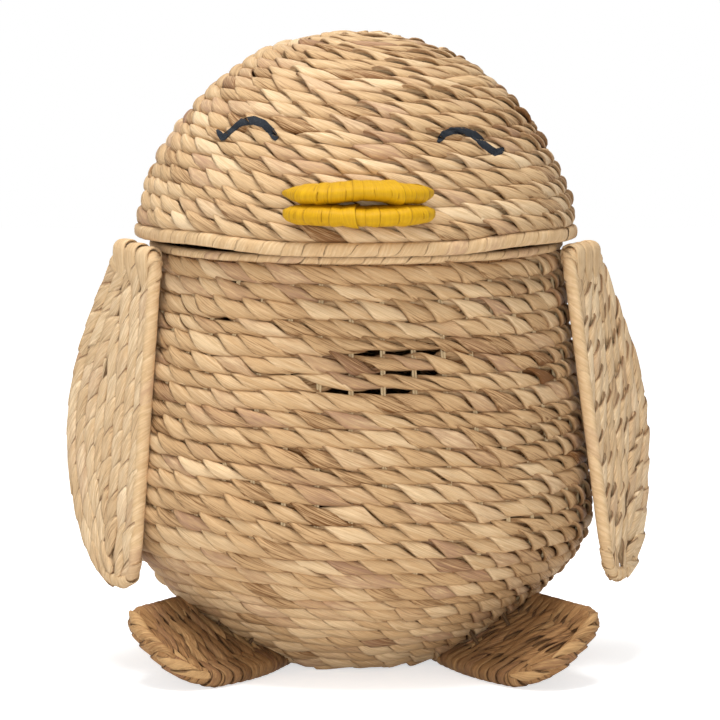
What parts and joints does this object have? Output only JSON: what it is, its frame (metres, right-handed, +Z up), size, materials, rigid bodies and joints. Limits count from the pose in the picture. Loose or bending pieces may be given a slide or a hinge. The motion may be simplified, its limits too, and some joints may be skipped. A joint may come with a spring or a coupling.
{
  "type": "woven lidded basket",
  "caption": "Round basket of twined plant strip shaped like a plump sleepy bird, with a domed lift-off lid, a two-part beak, two hanging wings and two flat feet.",
  "frame": {"origin": "on the floor plane, on the axis of the round body, at the centre of its flat base", "axes": "+Z up along the body's axis towards the lid, -Y the way the face looks, +X towards the wing on the right of the front view"},
  "size_m": [0.5013, 0.4266, 0.5333],
  "materials": {
    "weave": "matt plant fibre with a faint sheen, straw to light brown",
    "binding_strip": "matt plant strip wound round the wires",
    "foot_weave": "matt plant fibre",
    "yellow_strip": "plant strip dyed yellow, slight sheen",
    "tie_cord": "matt twisted cord",
    "frame_wire": "dark iron wire, lightly varnished"
  },
  "bodies": {
    "basket": {"body_weave": "weave", "body_rim_binding": "binding_strip", "body_rim_wire": "frame_wire", "body_belly_hoop": "frame_wire", "body_base_hoop": "frame_wire", "body_upright_1": "frame_wire", "body_upright_2": "frame_wire", "body_upright_3": "frame_wire", "body_upright_4": "frame_wire", "foot_left_weave": "foot_weave", "foot_left_binding": "foot_weave", "foot_left_wire": "frame_wire", "foot_left_tie_1": "tie_cord", "foot_left_tie_2": "tie_cord", "foot_right_weave": "foot_weave", "foot_right_binding": "foot_weave", "foot_right_wire": "frame_wire", "foot_right_tie_1": "tie_cord", "foot_right_tie_2": "tie_cord", "wing_left_tie_front": "tie_cord", "wing_left_tie_rear": "tie_cord", "wing_right_tie_front": "tie_cord", "wing_right_tie_rear": "tie_cord"},
    "lid": {"lid_weave": "weave", "lid_rim_binding": "binding_strip", "lid_rim_wire": "frame_wire", "lid_rib_1": "frame_wire", "lid_rib_2": "frame_wire", "lid_rib_3": "frame_wire", "beak_upper": "yellow_strip", "beak_upper_tie_left": "tie_cord", "beak_upper_tie_right": "tie_cord", "beak_lower": "yellow_strip", "beak_lower_tie_left": "tie_cord", "beak_lower_tie_right": "tie_cord"},
    "wing_left": {"wing_left_weave": "weave", "wing_left_binding": "binding_strip", "wing_left_wire": "frame_wire"},
    "wing_right": {"wing_right_weave": "weave", "wing_right_binding": "binding_strip", "wing_right_wire": "frame_wire"}
  },
  "joints": [
    {"name": "lid_lift", "type": "slide", "parent": "basket", "child": "lid", "axis": [0, 0, 1], "range_m": [0, 0.2]},
    {"name": "wing_left_swing", "type": "hinge", "parent": "basket", "child": "wing_left", "pos_m": [-0.1664, -0.08368, 0.349], "axis": [-0.5707, 0.8211, 0], "range_deg": [0, 70]},
    {"name": "wing_right_swing", "type": "hinge", "parent": "basket", "child": "wing_right", "pos_m": [0.17736, -0.05502, 0.349], "axis": [-0.4067, -0.9135, 0], "range_deg": [0, 70]}
  ]
}
